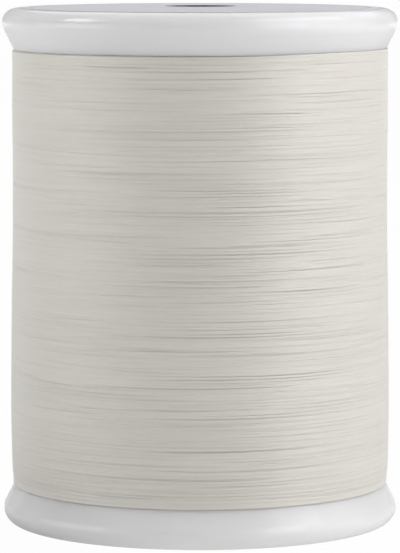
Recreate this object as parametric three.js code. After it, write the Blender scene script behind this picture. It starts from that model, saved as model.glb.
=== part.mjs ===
// A spool of fine sewing thread: a one-piece moulded spool, wound full, with a plain paper disc on top.
// Millimetres, +Z up, origin at the centre of the foot.

import * as THREE from 'three';

// Moulded spool. Both flanges have one section, mirrored end to end.
const faceToFace = 58.75;        // foot to the flat face of the upper flange
const flangeRadius = 22.5;       // widest line of a flange
const flatFaceRadius = 20.9;     // where the flat outer face turns into the rounded rim
const rimHeight = 1.6;           // outer face to the widest line
const flangeHeight = 4.7;        // outer face to the edge that the thread winds up to
const shoulderRadius = 2.0;      // turn from the widest line into the straight taper
const taperDegrees = 27;         // lean of the taper towards the thread
const barrelRadius = 12;         // tube that the thread is wound on
const barrelFillet = 0.8;        // turn from the tube into a flange
const boreRadius = 4.05;         // hole for a machine's spool pin, right through
const boreChamfer = 0.35;        // softened edge at the foot end of the bore

// Wound thread.
const clearance = 0.3;           // between the winding and the spool
const packageRadius = 21.5;      // mean radius of the wound surface
const packageRelief = [          // how far the surface stands out or draws in, along the wound length
  { along: 0.0, out: -0.15 },
  { along: 0.01, out: 0.0 },
  { along: 0.06, out: 0.09 },
  { along: 0.18, out: 0.14 },
  { along: 0.3, out: 0.1 },
  { along: 0.42, out: 0.01 },
  { along: 0.54, out: -0.1 },
  { along: 0.65, out: -0.14 },
  { along: 0.77, out: -0.11 },
  { along: 0.89, out: -0.08 },
  { along: 0.965, out: -0.15 },
  { along: 0.99, out: -0.22 },
  { along: 1.0, out: -0.35 },
];

// Paper disc.
const discRadius = 20.4;
const discHoleRadius = 4.35;
const discThickness = 0.15;

const segmentsAround = 72;
const rimSteps = 6;
const turnSteps = 3;

function arc(centreR, centreZ, radiusR, radiusZ, fromAngle, toAngle, steps) {
  const points = [];
  for (let step = 0; step <= steps; step += 1) {
    const angle = fromAngle + ((toAngle - fromAngle) * step) / steps;
    points.push([centreR + radiusR * Math.cos(angle), centreZ + radiusZ * Math.sin(angle)]);
  }
  return points;
}

// Section of one flange from the flat outer face to the barrel, its outer face at z = 0.
function flangeSection() {
  const rim = arc(
    flatFaceRadius, rimHeight,
    flangeRadius - flatFaceRadius, rimHeight, -Math.PI / 2, 0, rimSteps,
  );
  const taperAngle = THREE.MathUtils.degToRad(taperDegrees);
  const shoulder = arc(
    flangeRadius - shoulderRadius, rimHeight,
    shoulderRadius, shoulderRadius, 0, taperAngle, turnSteps,
  );
  const [taperStartR, taperStartZ] = shoulder[shoulder.length - 1];
  const edgeRadius = taperStartR - (flangeHeight - taperStartZ) * Math.tan(taperAngle);
  const fillet = arc(
    barrelRadius + barrelFillet, flangeHeight + barrelFillet,
    barrelFillet, barrelFillet, -Math.PI / 2, -Math.PI, turnSteps,
  );
  return [...rim, ...shoulder.slice(1), [edgeRadius, flangeHeight], ...fillet];
}

function spoolSection() {
  const lower = flangeSection();
  const upper = lower.map(([r, z]) => [r, faceToFace - z]).reverse();
  return [
    [boreRadius + boreChamfer, 0],
    ...lower,
    ...upper,
    [boreRadius, faceToFace],
    [boreRadius, boreChamfer],
  ];
}

function threadSection() {
  const innerRadius = barrelRadius + clearance;
  const endSlack = barrelFillet;
  const lowerEnd = flangeHeight + clearance;
  const upperEnd = faceToFace - flangeHeight - clearance;
  const woundLength = upperEnd - lowerEnd;
  const wound = packageRelief.map(({ along, out }) => [packageRadius + out, lowerEnd + along * woundLength]);
  return [
    [innerRadius + endSlack, lowerEnd],
    ...wound,
    [innerRadius + endSlack, upperEnd],
    [innerRadius, upperEnd - endSlack],
    [innerRadius, lowerEnd + endSlack],
  ];
}

function discSection() {
  return [
    [discHoleRadius, faceToFace],
    [discRadius, faceToFace],
    [discRadius, faceToFace + discThickness],
    [discHoleRadius, faceToFace + discThickness],
  ];
}

// Turns a closed section about Z. LatheGeometry turns about Y, so the result is stood up.
function turned(section) {
  const outline = [...section, section[0]].map(([r, z]) => new THREE.Vector2(r, z));
  const geometry = new THREE.LatheGeometry(outline, segmentsAround);
  geometry.rotateX(Math.PI / 2);
  return geometry;
}

function piece(name, section, colour, roughness) {
  const material = new THREE.MeshStandardMaterial({ color: colour, roughness, metalness: 0 });
  const mesh = new THREE.Mesh(turned(section), material);
  mesh.name = name;
  return mesh;
}

const threadSpool = new THREE.Group();
threadSpool.name = 'thread_spool';
threadSpool.add(piece('spool', spoolSection(), 0xe9ebed, 0.25));
threadSpool.add(piece('thread', threadSection(), 0xe2ddd2, 0.75));
threadSpool.add(piece('label', discSection(), 0xcfcfd4, 0.6));

export default threadSpool;
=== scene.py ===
import math

import bpy
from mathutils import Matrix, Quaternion, Vector


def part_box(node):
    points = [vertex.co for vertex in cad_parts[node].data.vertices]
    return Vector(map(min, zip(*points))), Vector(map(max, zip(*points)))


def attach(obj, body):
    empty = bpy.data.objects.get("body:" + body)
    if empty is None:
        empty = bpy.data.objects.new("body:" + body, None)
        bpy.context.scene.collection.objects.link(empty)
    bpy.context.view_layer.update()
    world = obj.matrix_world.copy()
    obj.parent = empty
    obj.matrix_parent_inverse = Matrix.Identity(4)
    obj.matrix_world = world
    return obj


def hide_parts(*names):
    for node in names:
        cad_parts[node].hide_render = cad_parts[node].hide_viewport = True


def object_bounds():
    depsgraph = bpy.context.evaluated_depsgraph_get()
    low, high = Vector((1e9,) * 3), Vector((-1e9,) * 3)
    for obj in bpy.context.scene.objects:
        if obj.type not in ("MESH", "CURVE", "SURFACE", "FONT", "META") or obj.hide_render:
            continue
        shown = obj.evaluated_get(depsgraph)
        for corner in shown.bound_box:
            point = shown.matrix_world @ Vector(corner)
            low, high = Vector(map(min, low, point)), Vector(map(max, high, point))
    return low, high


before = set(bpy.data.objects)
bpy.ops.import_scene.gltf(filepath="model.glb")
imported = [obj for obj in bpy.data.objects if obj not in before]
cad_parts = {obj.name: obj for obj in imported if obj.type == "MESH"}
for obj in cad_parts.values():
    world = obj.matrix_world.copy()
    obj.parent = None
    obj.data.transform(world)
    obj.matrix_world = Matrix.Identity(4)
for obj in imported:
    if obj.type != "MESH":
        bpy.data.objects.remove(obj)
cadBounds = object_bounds()
mm = 0.001
shadeStops = (0.35, 0.65)                  # noise under and over these is all dark and all light


def newNode(tree, kind, **options):
    node = tree.nodes.new(kind)
    for key, value in options.items():
        setattr(node, key, value)
    return node


def feed(tree, socket, value):             # value is another node's socket or a plain value
    if isinstance(value, bpy.types.NodeSocket):
        tree.links.new(value, socket)
    else:
        socket.default_value = value


def calc(tree, operation, *values):
    node = newNode(tree, "ShaderNodeMath", operation=operation)
    for socket, value in zip(node.inputs, values):
        feed(tree, socket, value)
    return node.outputs[0]


def joined(tree, x, y, z):
    node = newNode(tree, "ShaderNodeCombineXYZ")
    for socket, value in zip(node.inputs, (x, y, z)):
        feed(tree, socket, value)
    return node.outputs[0]


def product(tree, first, *others):
    for other in others:
        first = calc(tree, "MULTIPLY", first, other)
    return first


def cloud(tree, place, size, detail, seed):           # soft noise, 0 to 1, in patches of that size
    node = newNode(tree, "ShaderNodeTexNoise", noise_dimensions="4D")
    feed(tree, node.inputs["Vector"], place)
    node.inputs["Scale"].default_value = 1.0 / size
    node.inputs["Detail"].default_value = detail
    feed(tree, node.inputs["W"], seed)
    return node.outputs[0]


def shades(tree, value, look):             # from the look's dark colour to its light one
    node = newNode(tree, "ShaderNodeValToRGB")
    feed(tree, node.inputs[0], value)
    colours = (look["colourDark"], look["colourLight"])
    for band, place, colour in zip(node.color_ramp.elements, shadeStops, colours):
        band.position, band.color = place, (*colour, 1)
    return node.outputs[0]


def bumps(tree, height, size, under=None):            # size is (distance, strength)
    node = newNode(tree, "ShaderNodeBump")
    feed(tree, node.inputs["Height"], height)
    node.inputs["Distance"].default_value, node.inputs["Strength"].default_value = size
    if under is not None:
        tree.links.new(under, node.inputs["Normal"])
    return node.outputs[0]


def principled(name, values):              # the values are the same all over the piece
    material = bpy.data.materials.new(name)
    material.use_nodes = True
    shader = material.node_tree.nodes["Principled BSDF"]
    for socket, value in values.items():
        shader.inputs[socket].default_value = value
    return material, material.node_tree, shader


def meshPiece(name, vertices, faces, material, smooth=True):
    mesh = bpy.data.meshes.new(name)
    mesh.from_pydata(vertices, [], faces)
    mesh.validate()
    mesh.shade_smooth() if smooth else mesh.shade_flat()
    piece = bpy.data.objects.new(name, mesh)
    bpy.context.scene.collection.objects.link(piece)
    mesh.materials.append(material)
    return piece


def turnedPiece(name, section, around, material):     # section of (radius, height), about Z
    count = len(section)
    vertices = []
    for step in range(around):
        angle = 2 * math.pi * step / around
        vertices += [(r * math.cos(angle), r * math.sin(angle), z) for r, z in section]
    faces = []
    for step in range(around):
        here, there = step * count, ((step + 1) % around) * count
        for k in range(count):
            after = (k + 1) % count
            faces.append((here + k, there + k, there + after, here + after))
    return meshPiece(name, vertices, faces, material)


def arc(centreR, centreZ, radiusR, radiusZ, fromDegrees, toDegrees, steps):
    points = []
    for step in range(steps + 1):
        angle = math.radians(fromDegrees + (toDegrees - fromDegrees) * step / steps)
        points.append((centreR + radiusR * math.cos(angle), centreZ + radiusZ * math.sin(angle)))
    return points


cameraSetup = {
    "distance": 420 * mm,                  # from the spool's axis
    "height": 69.7 * mm,
    "aimShare": 0.4764,                    # share of the spool's height that the lens points at
    "lens": 239.9,                         # focal length in mm, on a sensor of the next width
    "sensorWidth": 36,
    "clip": (0.01, 10),
}


def makeCamera():
    p = cameraSetup
    low, high = cadBounds
    camera = bpy.data.cameras.new("camera")
    camera.lens, camera.sensor_width = p["lens"], p["sensorWidth"]
    camera.clip_start, camera.clip_end = p["clip"]
    rig = bpy.data.objects.new("camera", camera)
    bpy.context.scene.collection.objects.link(rig)
    rig.location = (0, -p["distance"], p["height"])
    target = Vector((0, 0, low.z + p["aimShare"] * (high.z - low.z)))
    rig.rotation_euler = (target - rig.location).to_track_quat("-Z", "Y").to_euler()
    bpy.context.scene.camera = rig


studio = {
    "distance": 0.5,                       # of each softbox from the spool
    "size": (0.22, 0.4),                   # width and height, unless a softbox gives its own
    "tint": (0.99, 0.98, 1.0),             # colour of the light, hardly off white
    "softboxes": {                         # azimuth 0 is behind the camera, 90 is to the right
        "rightNear": {"azimuth": 30, "elevation": 10, "power": 0.13},
        "rightFront": {"azimuth": 50, "elevation": 10, "power": 0.66},
        "rightKey": {"azimuth": 70, "elevation": 10, "power": 0.42},
        "rightSide": {"azimuth": 95, "elevation": 8, "power": 0.22},
        "rightHigh": {"azimuth": 68, "elevation": 35, "power": 0.16, "size": (0.22, 0.16)},
        "rightStrip": {
            "azimuth": 80, "elevation": 52, "power": 0.7, "size": (0.42, 0.18), "roll": -20,
        },
        "leftNear": {"azimuth": -50, "elevation": 6, "power": 0.18, "size": (0.22, 0.3)},
        "leftKey": {"azimuth": -70, "elevation": 4, "power": 0.4, "size": (0.22, 0.28)},
        "leftSide": {"azimuth": -92, "elevation": 2, "power": 0.27, "size": (0.22, 0.26)},
        "leftHigh": {"azimuth": -70, "elevation": 58, "power": 0.25, "size": (0.4, 0.4)},
        "leftTop": {"azimuth": -172, "elevation": 62, "power": 0.8, "size": (1.0, 0.5)},
        "leftLamp": {
            "azimuth": -82, "elevation": 41, "power": 0.1, "size": (0.08, 0.07), "distance": 0.28,
        },
        "leftBack": {"azimuth": -125, "elevation": 14, "power": 0.1, "size": (0.3, 0.4)},
        "back": {"azimuth": 155, "elevation": 52, "power": 0.66, "size": (0.8, 0.5)},
        "backLow": {"azimuth": 180, "elevation": 14, "power": 0.55, "size": (0.9, 0.4)},
    },
    "floorReach": 6.0,                     # from the foot to each edge of the floor
    "floorGrey": 0.15,                     # dark, so it throws back little of the softboxes' light
    "floorGlow": 0.54,                     # even light from below, in place of that
    "floorSeen": 0.97,                     # share of plain white in the floor that the camera sees
    "shade": {                             # the glow is weaker where the spool's own shadow falls
        "centre": (-25 * mm, -12 * mm, 0),
        "glow": 0.2,                       # at the centre
        "rise": 14,                        # per metre from there
    },
}


def softbox(name, box):
    light = bpy.data.lights.new(name, "AREA")
    light.shape = "RECTANGLE"
    light.size, light.size_y = box.get("size", studio["size"])
    light.energy = box["power"]
    light.color = studio["tint"]
    rig = bpy.data.objects.new(name, light)
    bpy.context.scene.collection.objects.link(rig)
    a, e = math.radians(box["azimuth"]), math.radians(box["elevation"])
    out = Vector((math.sin(a) * math.cos(e), -math.cos(a) * math.cos(e), math.sin(e)))
    low, high = cadBounds
    rig.location = (low + high) / 2 + box.get("distance", studio["distance"]) * out
    roll = Quaternion((0, 0, 1), math.radians(box.get("roll", 0)))
    rig.rotation_euler = ((-out).to_track_quat("-Z", "Y") @ roll).to_euler()


def makeStudio():
    world = bpy.data.worlds.new("studio")
    bpy.context.scene.world = world
    world.use_nodes = True
    tree = world.node_tree
    tree.nodes.clear()
    backdrop = newNode(tree, "ShaderNodeBackground", name="backdrop")
    backdrop.inputs["Color"].default_value = (1, 1, 1, 1)
    onlySeen = newNode(tree, "ShaderNodeLightPath").outputs["Is Camera Ray"]
    tree.links.new(onlySeen, backdrop.inputs["Strength"])     # seen as white, gives no light
    out = newNode(tree, "ShaderNodeOutputWorld")
    tree.links.new(backdrop.outputs[0], out.inputs["Surface"])
    for name, box in studio["softboxes"].items():
        softbox(name, box)
    bpy.context.scene.view_settings.view_transform = "Standard"
    print("studio ready")


def makeFloor():
    grey = studio["floorGrey"]
    material, tree, shader = principled("floorPaper", {
        "Base Color": (grey, grey, grey, 1), "Roughness": 0.9, "Specular IOR Level": 0.1,
        "Emission Color": (1, 1, 1, 1),
    })
    shade = studio["shade"]
    away = newNode(tree, "ShaderNodeVectorMath", operation="DISTANCE")
    tree.links.new(newNode(tree, "ShaderNodeTexCoord").outputs["Object"], away.inputs[0])
    away.inputs[1].default_value = shade["centre"]
    glow = calc(tree, "MULTIPLY_ADD", away.outputs["Value"], shade["rise"], shade["glow"])
    feed(tree, shader.inputs["Emission Strength"], calc(tree, "MINIMUM", glow, studio["floorGlow"]))
    white = newNode(tree, "ShaderNodeEmission")
    seen = newNode(tree, "ShaderNodeMixShader")
    feed(tree, seen.inputs[0], studio["floorSeen"])
    tree.links.new(shader.outputs[0], seen.inputs[1])
    tree.links.new(white.outputs[0], seen.inputs[2])
    mix = newNode(tree, "ShaderNodeMixShader")
    tree.links.new(newNode(tree, "ShaderNodeLightPath").outputs["Is Camera Ray"], mix.inputs[0])
    tree.links.new(shader.outputs[0], mix.inputs[1])
    tree.links.new(seen.outputs[0], mix.inputs[2])
    tree.links.new(mix.outputs[0], tree.nodes["Material Output"].inputs["Surface"])
    reach = studio["floorReach"]
    corners = [(-reach, -reach, 0), (reach, -reach, 0), (reach, reach, 0), (-reach, reach, 0)]
    floor = meshPiece("floor", corners, [(0, 1, 2, 3)], material, smooth=False)


spoolBody = {
    "rimWidth": 1.6 * mm,                  # rounded rim, flat face to widest line
    "rimHeight": 1.6 * mm,
    "flangeHeight": 4.7 * mm,
    "shoulderRadius": 2.0 * mm,
    "taperDegrees": 27,
    "barrelRadius": 12 * mm,
    "boreRadius": 4.05 * mm,
    "boreChamfer": 0.35 * mm,
    "recessRadius": 6.6 * mm,              # relieved mouth of the bore, under the paper disc
    "recessDepth": 1.3 * mm,
    "edgeSoftness": 0.12 * mm,
    "lip": ((0.5, -1.0), (0.0, -0.3), (-0.8, 0.0)),   # edge at the thread, in shares of softness
    "rimSteps": 14,
    "shoulderSteps": 6,
    "around": 192,
    "colourLight": (0.965, 0.958, 0.953),
    "colourDark": (0.94, 0.934, 0.93),
    "gloss": (0.36, 0.5),                  # roughness of the cleanest and the most handled patches
    "patchSize": 9 * mm,
    "scuffSize": 1.1 * mm,
    "scuffShare": 0.6,                     # of the wear that is scuffs, the rest is patches
    "scuffBump": (0.01 * mm, 0.15),        # distance and strength, as for every bump below
    "rippleSize": 2.6 * mm,
    "rippleBump": (0.05 * mm, 0.12),
}


def plasticMaterial():                     # moulded polystyrene, glossy, faintly scuffed
    p = spoolBody
    material, tree, shader = principled("spoolPlastic", {
        "Subsurface Weight": 0.6, "Subsurface Radius": (1, 1, 1), "Subsurface Scale": 2.5 * mm,
        "IOR": 1.55, "Specular IOR Level": 0.15, "Coat Weight": 0.85, "Coat Roughness": 0.1,
    })
    place = newNode(tree, "ShaderNodeTexCoord").outputs["Object"]
    patches = cloud(tree, place, p["patchSize"], 3.0, 1.0)
    feed(tree, shader.inputs["Base Color"], shades(tree, patches, p))
    scuffs = cloud(tree, place, p["scuffSize"], 4.0, 2.0)
    worn = calc(tree, "MULTIPLY_ADD", scuffs, p["scuffShare"],
                calc(tree, "MULTIPLY", patches, 1 - p["scuffShare"]))
    low, high = p["gloss"]
    feed(tree, shader.inputs["Roughness"], calc(tree, "MULTIPLY_ADD", worn, high - low, low))
    ripple = bumps(tree, cloud(tree, place, p["rippleSize"], 1.0, 3.0), p["rippleBump"])
    tree.links.new(bumps(tree, scuffs, p["scuffBump"], ripple), shader.inputs["Normal"])
    return material


def flangeSection(p, flangeRadius):
    rim = arc(flangeRadius - p["rimWidth"], p["rimHeight"], p["rimWidth"], p["rimHeight"],
              -90, 0, p["rimSteps"])
    shoulder = arc(flangeRadius - p["shoulderRadius"], p["rimHeight"], p["shoulderRadius"],
                   p["shoulderRadius"], 0, p["taperDegrees"], p["shoulderSteps"])
    startR, startZ = shoulder[-1]
    edgeR = startR - (p["flangeHeight"] - startZ) * math.tan(math.radians(p["taperDegrees"]))
    soft = p["edgeSoftness"]
    lip = [(edgeR + soft * out, p["flangeHeight"] + soft * up) for out, up in p["lip"]]
    return rim + shoulder[1:] + lip + [(p["barrelRadius"], p["flangeHeight"])]


def makeSpool(material):
    p = spoolBody
    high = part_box("spool")[1]
    lower = flangeSection(p, high.x)
    upper = [(r, high.z - z) for r, z in reversed(lower)]
    soft, bore, chamfer = p["edgeSoftness"], p["boreRadius"], p["boreChamfer"]
    recess, deep = p["recessRadius"], p["recessDepth"]
    mouth = [
        (recess + soft, high.z), (recess, high.z - soft),
        (recess, high.z - deep + soft), (recess - soft, high.z - deep),
        (bore + soft, high.z - deep), (bore, high.z - deep - soft),
    ]
    foot = [(bore, chamfer), (bore + chamfer, 0)]
    section = lower + upper + mouth + foot
    piece = turnedPiece("spoolBody", section, p["around"], material)
    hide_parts("spool")
    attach(piece, "root")
    print("spool turned:", len(piece.data.polygons), "faces")


winding = {
    "strandWidth": 0.29 * mm,              # wider than a turn climbs, so the turns overlap
    "strandHeight": 0.03 * mm,
    "strandSides": 8,
    "packageRadius": 21.5 * mm,
    "relief": [                            # outline: share of the length, millimetres outwards
        (0.0, -0.06), (0.012, -0.05), (0.031, 0.03), (0.054, 0.08), (0.1, 0.13), (0.19, 0.17),
        (0.28, 0.12), (0.38, 0.07), (0.47, 0.0), (0.56, -0.09), (0.65, -0.13), (0.75, -0.14),
        (0.84, -0.1), (0.93, -0.12), (0.965, -0.14), (0.988, -0.13), (1.0, -0.14),
    ],
    "endGap": 0.03 * mm,                   # between the winding's ends and the flanges
    "tubeGap": 0.3 * mm,                   # between the core and the tube
    "coreSunk": 0.6,                       # strand heights that the core lies under the inner turns
    "coreRows": 60,
    "coreAround": 128,
    "lipCover": 0.3 * mm,                  # how far outer turns reach down over the lower lip
    "brimCover": 0.08 * mm,                # the same at the upper flange
    "brimClimb": 0.26 * mm,                # the last turns climb this much further up on one side
    "climbLate": 30.0,                     # the higher, the fewer turns climb
    "climbSide": (2.0, -0.4),              # by 2 cos(angle) - 0.4, kept within 0 and 1
    "layers": {                            # lean: which way it climbs, deeper: how far inside
        "outerTurns": {
            "turns": 236, "steps": 108, "parts": 3, "lean": 1, "deeper": 0.0, "start": 130,
            "slip": 0.056 * mm, "proud": 0.042 * mm, "swell": 0.012 * mm, "seed": 11,
        },
        "strayTurns": {
            "turns": 21, "steps": 200, "parts": 1, "lean": -1, "deeper": 0.0, "start": 60,
            "slip": 0.3 * mm, "proud": 0.012 * mm, "swell": 0.016 * mm, "seed": 5,
        },
        "innerTurns": {
            "turns": 130, "steps": 90, "parts": 1, "lean": -1, "deeper": 0.05 * mm, "start": 90,
            "slip": 0.08 * mm, "proud": 0.0, "swell": 0.012 * mm, "seed": 27,
        },
    },
    "swellSize": 1.6 * mm,                 # height over which the slow swelling changes
    "alike": 0.45,                         # the higher, the more alike the turns stand off
    "calmEnds": 60.0,                      # turns lie tight in 1/60 of the length at each flange
    "looseSide": -78,                      # degrees round the spool where they lie most unevenly
    "looseShare": 0.93,                    # 0 is the same unevenness all round
    "looseFocus": 6.0,                     # the higher, the narrower that side is
    "tuck": (0.08, 0.45 * mm, 0.2 * mm),   # an end goes under: turns, sideways, inwards
}

threadLook = {
    "colourLight": (0.86, 0.832, 0.758),
    "colourDark": (0.81, 0.781, 0.709),
    "plies": 3,
    "twist": 0.95 * mm,                    # length in which the plies go round once
    "plyBump": (0.012 * mm, 0.5),
    "fibreScale": (1.4 / mm, 11.0),        # patches per metre of thread and per turn round it
    "fibreShare": 0.4,                     # of the shading that is fibres, the rest is slow
    "fibreBump": (0.01 * mm, 0.4),
    "slowLength": 14 * mm,                 # of a slow change of shade along the thread
}


def threadMaterial():                      # spun polyester: plies, fine fibres, slow shading
    p = threadLook
    material, tree, shader = principled("sewingThread", {
        "Roughness": 0.35, "IOR": 1.5, "Specular IOR Level": 1.0,
        "Sheen Weight": 0.12, "Sheen Roughness": 0.5,
    })
    strand = newNode(tree, "ShaderNodeSeparateXYZ")
    tree.links.new(newNode(tree, "ShaderNodeUVMap", uv_map="strand").outputs[0], strand.inputs[0])
    run, girth = strand.outputs[0], strand.outputs[1]
    turned = calc(tree, "ADD", calc(tree, "DIVIDE", run, p["twist"]), girth)
    ply = calc(tree, "SINE", calc(tree, "MULTIPLY", turned, 2 * math.pi * p["plies"]))
    perRun, perGirth = p["fibreScale"]
    streaks = joined(tree, calc(tree, "MULTIPLY", run, perRun),
                     calc(tree, "MULTIPLY", girth, perGirth), 0.0)
    fibres = cloud(tree, streaks, 1.0, 2.0, 4.0)
    slow = joined(tree, calc(tree, "DIVIDE", run, p["slowLength"]), girth, 0.0)
    tone = calc(tree, "MULTIPLY_ADD", fibres, p["fibreShare"],
                calc(tree, "MULTIPLY", cloud(tree, slow, 1.0, 2.0, 5.0), 1 - p["fibreShare"]))
    feed(tree, shader.inputs["Base Color"], shades(tree, tone, p))
    plied = bumps(tree, ply, p["plyBump"])
    tree.links.new(bumps(tree, fibres, p["fibreBump"], plied), shader.inputs["Normal"])
    return material


treeInputs = (
    "Lower End", "Upper End", "Package Radius", "Strand Width", "Strand Height", "Turns",
    "Steps Per Turn", "From Share", "To Share", "Lean", "Start Angle", "Slip", "Proud", "Swell",
    "Swell Size", "Seed",
)


def packageOutline(tree, share):           # how far the winding stands out, in metres
    outline = newNode(tree, "ShaderNodeFloatCurve")
    curve = outline.mapping.curves[0]
    rows = winding["relief"]
    while len(curve.points) < len(rows):
        curve.points.new(0.5, 0.5)
    for point, (place, out) in zip(curve.points, rows):
        point.location = (place, 0.5 + out)
    outline.mapping.update()
    tree.links.new(share, outline.inputs["Value"])
    return calc(tree, "MULTIPLY", calc(tree, "SUBTRACT", outline.outputs[0], 0.5), mm)


def captured(tree, geometry, name, value):            # the geometry and, kept with it, the value
    node = newNode(tree, "GeometryNodeCaptureAttribute")
    node.capture_items.new("FLOAT", name)
    tree.links.new(geometry, node.inputs[0])
    tree.links.new(value, node.inputs[1])
    return node.outputs[0], node.outputs[1]


def strandTube(tree, given, path):         # flattened, and mapped by run and girth
    along = newNode(tree, "GeometryNodeSplineParameter").outputs["Length"]
    path, run = captured(tree, path, "run", along)
    ring = newNode(tree, "GeometryNodeCurvePrimitiveCircle")
    ring.inputs["Resolution"].default_value = winding["strandSides"]
    ring.inputs["Radius"].default_value = 0.5
    flat = newNode(tree, "GeometryNodeTransform")     # its x points outwards, its y along the spool
    tree.links.new(ring.outputs[0], flat.inputs["Geometry"])
    flat.inputs["Rotation"].default_value = (0, 0, math.pi)   # the seam of its girth lies inside
    size = joined(tree, given["Strand Height"], given["Strand Width"], 1.0)
    tree.links.new(size, flat.inputs["Scale"])
    around = newNode(tree, "GeometryNodeSplineParameter").outputs["Factor"]
    profile, girth = captured(tree, flat.outputs[0], "girth", around)
    tube = newNode(tree, "GeometryNodeCurveToMesh")
    tree.links.new(path, tube.inputs["Curve"])
    tree.links.new(profile, tube.inputs["Profile Curve"])
    tube.inputs["Fill Caps"].default_value = True
    store = newNode(tree, "GeometryNodeStoreNamedAttribute", data_type="FLOAT2", domain="CORNER")
    tree.links.new(tube.outputs[0], store.inputs["Geometry"])
    store.inputs["Name"].default_value = "strand"
    tree.links.new(joined(tree, run, girth, 0.0), store.inputs["Value"])
    smooth = newNode(tree, "GeometryNodeSetShadeSmooth")
    tree.links.new(store.outputs[0], smooth.inputs[0])
    return smooth.outputs[0]


def windTree():
    p = winding
    tree = bpy.data.node_groups.new("windThread", "GeometryNodeTree")
    face = tree.interface
    face.new_socket(name="Geometry", in_out="OUTPUT", socket_type="NodeSocketGeometry")
    for name in treeInputs:
        face.new_socket(name=name, in_out="INPUT", socket_type="NodeSocketFloat")
    face.new_socket(name="Material", in_out="INPUT", socket_type="NodeSocketMaterial")
    given = newNode(tree, "NodeGroupInput").outputs

    span = calc(tree, "SUBTRACT", given["To Share"], given["From Share"])
    line = newNode(tree, "GeometryNodeCurvePrimitiveLine")
    points = newNode(tree, "GeometryNodeResampleCurve")
    tree.links.new(line.outputs[0], points.inputs["Curve"])
    count = product(tree, given["Turns"], span, given["Steps Per Turn"])
    tree.links.new(count, points.inputs["Count"])

    along = newNode(tree, "GeometryNodeSplineParameter").outputs["Factor"]
    share = calc(tree, "ADD", given["From Share"], calc(tree, "MULTIPLY", along, span))
    turned = calc(tree, "MULTIPLY", share, given["Turns"])
    angle = calc(tree, "MULTIPLY_ADD", calc(tree, "MULTIPLY", turned, given["Lean"]), 2 * math.pi,
                 given["Start Angle"])
    x, y = calc(tree, "COSINE", angle), calc(tree, "SINE", angle)
    length = calc(tree, "SUBTRACT", given["Upper End"], given["Lower End"])
    height = calc(tree, "ADD", given["Lower End"], calc(tree, "MULTIPLY", share, length))

    def uneven(change, offset, detail):    # about -1 to 1, a new pattern for each offset
        seed = calc(tree, "ADD", given["Seed"], offset)
        spread = cloud(tree, joined(tree, x, y, change), 1.0, detail, seed)
        return calc(tree, "MULTIPLY", calc(tree, "SUBTRACT", spread, 0.5), 4.0)

    def seldom(value):                     # small in most places, so few turns stand off
        size = calc(tree, "ADD", calc(tree, "ABSOLUTE", value), p["alike"])
        return calc(tree, "MULTIPLY", value, size)

    def clamped(value):                    # 0 to 1
        return calc(tree, "MINIMUM", calc(tree, "MAXIMUM", value, 0.0), 1.0)

    toEnd = calc(tree, "MINIMUM", share, calc(tree, "SUBTRACT", 1.0, share))
    tight = calc(tree, "MINIMUM", calc(tree, "MULTIPLY", toEnd, p["calmEnds"]), 1.0)
    side = math.radians(p["looseSide"])
    facing = calc(tree, "ADD", calc(tree, "MULTIPLY", x, math.cos(side)),
                  calc(tree, "MULTIPLY", y, math.sin(side)))
    near = calc(tree, "POWER", calc(tree, "MULTIPLY_ADD", facing, 0.5, 0.5), p["looseFocus"])
    loose = calc(tree, "MULTIPLY_ADD", near, p["looseShare"], 1 - p["looseShare"])
    free = calc(tree, "MULTIPLY", tight, loose)       # how freely a turn may lie here, 0 to 1
    slip = product(tree, seldom(uneven(turned, 0.0, 0.0)), given["Slip"], free)

    tuckTurns, tuckAside, tuckIn = p["tuck"]
    ended = calc(tree, "DIVIDE", calc(tree, "MULTIPLY", toEnd, given["Turns"]), tuckTurns)
    short = calc(tree, "MAXIMUM", calc(tree, "SUBTRACT", 1.0, ended), 0.0)
    tucked = calc(tree, "POWER", short, 2.0)
    inwards = calc(tree, "SUBTRACT", 1.0, calc(tree, "MULTIPLY", share, 2.0))
    aside = product(tree, tucked, inwards, tuckAside)
    oneSide = clamped(calc(tree, "MULTIPLY_ADD", x, *p["climbSide"]))
    climb = product(tree, calc(tree, "POWER", share, p["climbLate"]), oneSide, p["brimClimb"])
    z = calc(tree, "ADD", calc(tree, "ADD", height, climb), calc(tree, "ADD", slip, aside))

    proud = product(tree, seldom(uneven(turned, 7.0, 0.0)), given["Proud"], free)
    slowly = calc(tree, "DIVIDE", height, given["Swell Size"])
    swell = calc(tree, "MULTIPLY", uneven(slowly, 13.0, 2.0), given["Swell"])
    lift = calc(tree, "ADD", packageOutline(tree, share), calc(tree, "ADD", proud, swell))
    sunk = calc(tree, "MULTIPLY", tucked, tuckIn)
    radius = calc(tree, "SUBTRACT", calc(tree, "ADD", given["Package Radius"], lift), sunk)

    laid = newNode(tree, "GeometryNodeSetPosition")
    tree.links.new(points.outputs[0], laid.inputs["Geometry"])
    place = joined(tree, calc(tree, "MULTIPLY", x, radius), calc(tree, "MULTIPLY", y, radius), z)
    tree.links.new(place, laid.inputs["Position"])
    upright = newNode(tree, "GeometryNodeSetCurveNormal", mode="Z_UP")
    tree.links.new(laid.outputs[0], upright.inputs["Curve"])
    real = newNode(tree, "GeometryNodeRealizeInstances")
    tree.links.new(strandTube(tree, given, upright.outputs[0]), real.inputs[0])
    dress = newNode(tree, "GeometryNodeSetMaterial")
    tree.links.new(real.outputs[0], dress.inputs["Geometry"])
    tree.links.new(given["Material"], dress.inputs["Material"])
    tree.links.new(dress.outputs[0], newNode(tree, "NodeGroupOutput").inputs[0])
    return tree


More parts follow.
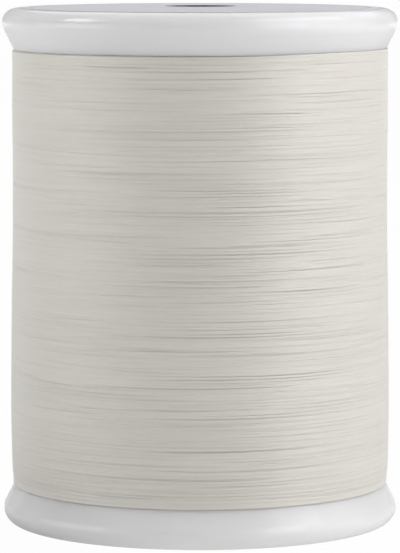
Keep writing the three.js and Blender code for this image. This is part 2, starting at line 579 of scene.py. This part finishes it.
def windStrands(name, tree, settings, material):
    carrier = bpy.data.objects.new(name + "Carrier", bpy.data.meshes.new(name + "Carrier"))
    bpy.context.scene.collection.objects.link(carrier)
    modifier = carrier.modifiers.new("wind", "NODES")
    modifier.node_group = tree
    inputs = [item for item in tree.interface.items_tree if item.in_out == "INPUT"]
    sockets = {item.name: item.identifier for item in inputs}
    for key, value in settings.items():
        modifier[sockets[key]] = float(value)
    modifier[sockets["Material"]] = material
    bpy.context.view_layer.update()
    evaluated = carrier.evaluated_get(bpy.context.evaluated_depsgraph_get())
    mesh = bpy.data.meshes.new_from_object(evaluated)
    mesh.name = name
    piece = bpy.data.objects.new(name, mesh)
    bpy.context.scene.collection.objects.link(piece)
    bpy.data.objects.remove(carrier)
    return piece


def reliefAt(share):                       # the same outline, straight between its rows
    rows = winding["relief"]
    for (a, outA), (b, outB) in zip(rows, rows[1:]):
        if share <= b:
            return (outA + (outB - outA) * (share - a) / (b - a)) * mm
    return rows[-1][1] * mm


def makeCore(lowerEnd, upperEnd, material):
    p = winding
    sunk = p["strandHeight"] * p["coreSunk"] + p["layers"]["innerTurns"]["deeper"]
    outer = []
    for row in range(p["coreRows"] + 1):
        share = row / p["coreRows"]
        outer.append((p["packageRadius"] + reliefAt(share) - sunk,
                      lowerEnd + (upperEnd - lowerEnd) * row / p["coreRows"]))
    inner = spoolBody["barrelRadius"] + p["tubeGap"]
    section = [(inner, lowerEnd)] + outer + [(inner, upperEnd)]
    return turnedPiece("windingCore", section, p["coreAround"], material)


def makeWinding(material):
    p = winding
    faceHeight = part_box("spool")[1].z
    lowerEnd = spoolBody["flangeHeight"] + p["endGap"]
    upperEnd = faceHeight - spoolBody["flangeHeight"] - p["endGap"]
    core = makeCore(lowerEnd, upperEnd, material)
    tree = windTree()
    half = p["strandWidth"] / 2
    pieces = [core]
    for name, layer in p["layers"].items():
        outermost = name == "outerTurns"   # only these reach over the flanges
        for part in range(layer["parts"]):
            settings = {
                "Lower End": lowerEnd + half - (p["lipCover"] if outermost else 0),
                "Upper End": upperEnd - half + (p["brimCover"] if outermost else 0),
                "Package Radius": p["packageRadius"] - p["strandHeight"] / 2 - layer["deeper"],
                "Strand Width": p["strandWidth"], "Strand Height": p["strandHeight"],
                "Turns": layer["turns"], "Steps Per Turn": layer["steps"],
                "From Share": part / layer["parts"], "To Share": (part + 1) / layer["parts"],
                "Lean": layer["lean"], "Start Angle": math.radians(layer["start"]),
                "Slip": layer["slip"], "Proud": layer["proud"], "Swell": layer["swell"],
                "Swell Size": p["swellSize"], "Seed": layer["seed"],
            }
            piece = windStrands(name + "ABC"[part], tree, settings, material)
            print(piece.name, len(piece.data.polygons), "faces")
            pieces.append(piece)
    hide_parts("thread")
    for piece in pieces:
        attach(piece, "root")
    print("thread wound")


paperDisc = {
    "outerRadius": 20.4 * mm,
    "holeRadius": 4.1 * mm,
    "thickness": 0.06 * mm,
    "lift": 0.18 * mm,                     # the punched edge stands off the plastic a little
    "liftLate": 2.2,                       # 1 rises evenly, more keeps the rim flat
    "clearOfFace": 0.004 * mm,             # its underside is at least this far off the plastic
    "edgeSoftness": 0.02 * mm,
    "steps": 14,                           # from the outer edge in to the hole
    "around": 192,
    "colourLight": (0.71, 0.71, 0.74),
    "colourDark": (0.66, 0.66, 0.692),
    "roughness": (0.45, 0.2),              # least, and how much more the grain adds
    "pulpSize": 0.35 * mm,
    "pulpBump": (0.02 * mm, 0.3),
    "ink": (0.53, 0.54, 0.58),
    "inkShare": 0.85,                      # how well the ink covers
    "ringRadii": (6.4 * mm, 19.2 * mm),
    "ringWidth": 0.35 * mm,
}


def paperMaterial():                       # plain paper with a thin printed ring inside each edge
    p = paperDisc
    material, tree, shader = principled("labelPaper", {"IOR": 1.45})
    place = newNode(tree, "ShaderNodeTexCoord").outputs["Object"]
    pulp = cloud(tree, place, p["pulpSize"], 3.0, 6.0)
    apart = newNode(tree, "ShaderNodeSeparateXYZ")
    tree.links.new(place, apart.inputs[0])
    flat = newNode(tree, "ShaderNodeVectorMath", operation="LENGTH")
    tree.links.new(joined(tree, apart.outputs[0], apart.outputs[1], 0.0), flat.inputs[0])
    inked = 0.0
    for radius in p["ringRadii"]:
        off = calc(tree, "ABSOLUTE", calc(tree, "SUBTRACT", flat.outputs["Value"], radius))
        inked = calc(tree, "MAXIMUM", inked, calc(tree, "LESS_THAN", off, p["ringWidth"] / 2))
    mix = newNode(tree, "ShaderNodeMix", data_type="RGBA")
    feed(tree, mix.inputs[0], calc(tree, "MULTIPLY", inked, p["inkShare"]))
    feed(tree, mix.inputs[6], shades(tree, pulp, p))  # 6 and 7 are the two colours, 2 the mixed one
    feed(tree, mix.inputs[7], (*p["ink"], 1))
    tree.links.new(mix.outputs[2], shader.inputs["Base Color"])
    least, more = p["roughness"]
    feed(tree, shader.inputs["Roughness"], calc(tree, "MULTIPLY_ADD", pulp, more, least))
    tree.links.new(bumps(tree, pulp, p["pulpBump"]), shader.inputs["Normal"])
    return material


def makeDisc(material):
    p = paperDisc
    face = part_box("label")[0].z            # the spool's upper face, that the disc lies on
    soft, thick = p["edgeSoftness"], p["thickness"]
    hole, outer = p["holeRadius"], p["outerRadius"]
    top = []
    for step in range(p["steps"] + 1):     # lifting a little at the last
        share = step / p["steps"]
        radius = outer - soft + (hole + soft - outer + soft) * share
        top.append((radius, face + thick + p["lift"] * share ** p["liftLate"]))
    under = [(r, max(z - thick, face + p["clearOfFace"])) for r, z in reversed(top)]
    rim = [(outer, face + soft), (outer, face + thick - soft)]
    section = [(hole, under[0][1] + soft)] + under + rim + top + [(hole, top[-1][1] - soft)]
    piece = turnedPiece("paperDisc", section, p["around"], material)
    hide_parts("label")
    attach(piece, "root")
    print("paper disc laid")


makeCamera()
makeStudio()
makeFloor()
makeSpool(plasticMaterial())
makeWinding(threadMaterial())
makeDisc(paperMaterial())
